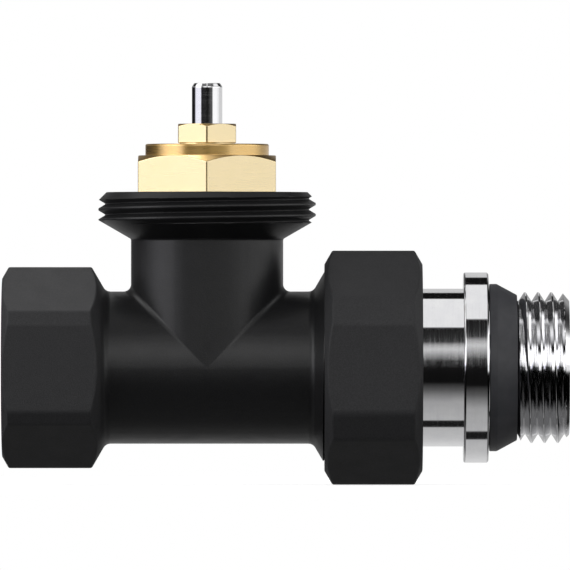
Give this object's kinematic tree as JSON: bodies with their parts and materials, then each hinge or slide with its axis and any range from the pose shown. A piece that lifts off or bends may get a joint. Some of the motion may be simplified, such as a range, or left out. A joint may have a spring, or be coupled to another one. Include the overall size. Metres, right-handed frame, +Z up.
{
  "type": "thermostatic radiator valve",
  "caption": "Straight radiator valve body with a sprung stem insert, threaded ring for a thermostatic head, tapped inlet and a union nut with tailpiece.",
  "frame": {"origin": "centre of the inlet's end face, on the flow axis", "axes": "+X along the flow axis from the inlet towards the radiator, +Y away from the viewer, +Z up the stem axis"},
  "size_m": [0.0782, 0.03, 0.0554],
  "materials": {
    "body_coating": "matt black powder coat on brass",
    "nut_coating": "matt black powder coat on brass",
    "brass": "machined, satin",
    "rubber": "moulded EPDM, matt",
    "spring_steel": "drawn wire, satin",
    "pin_steel": "ground and polished stainless steel",
    "chrome_plate": "bright chrome plate on brass",
    "seal_polymer": "smooth, semi-matt"
  },
  "bodies": {
    "valve_body": {"valve_body": "body_coating", "insert_housing": "brass", "insert_o_ring": "rubber", "spindle_guide": "brass", "gland_nut": "brass", "gland_washer": "brass", "gland_o_ring": "rubber", "return_spring": "spring_steel"},
    "stem": {"pressure_pin": "pin_steel", "valve_spindle": "brass", "spring_plate": "brass", "spindle_clip": "spring_steel", "disc_holder": "brass", "valve_disc": "rubber", "disc_nut": "brass"},
    "tail": {"tailpiece": "chrome_plate", "union_o_ring": "rubber", "nut_snap_ring": "spring_steel", "seal_ring": "seal_polymer"},
    "nut": {"union_nut": "nut_coating"}
  },
  "joints": [
    {"name": "pin_press", "type": "slide", "parent": "valve_body", "child": "stem", "axis": [0, 0, -1], "range_m": [0, 0.0035], "stiffness_N_per_m": 5700, "springref_m": -0.0026, "deforming": ["return_spring"]},
    {"name": "tail_draw", "type": "slide", "parent": "valve_body", "child": "tail", "axis": [1, 0, 0], "range_m": [0, 0.0082]},
    {"name": "nut_turn", "type": "hinge", "parent": "tail", "child": "nut", "pos_m": [0.0512, 0, 0], "axis": [1, 0, 0], "range_deg": [0, 1620]}
  ],
  "couplings": [
    {"joint": "tail_draw", "follows": "nut_turn", "m_per_rad": 0.00028871}
  ]
}
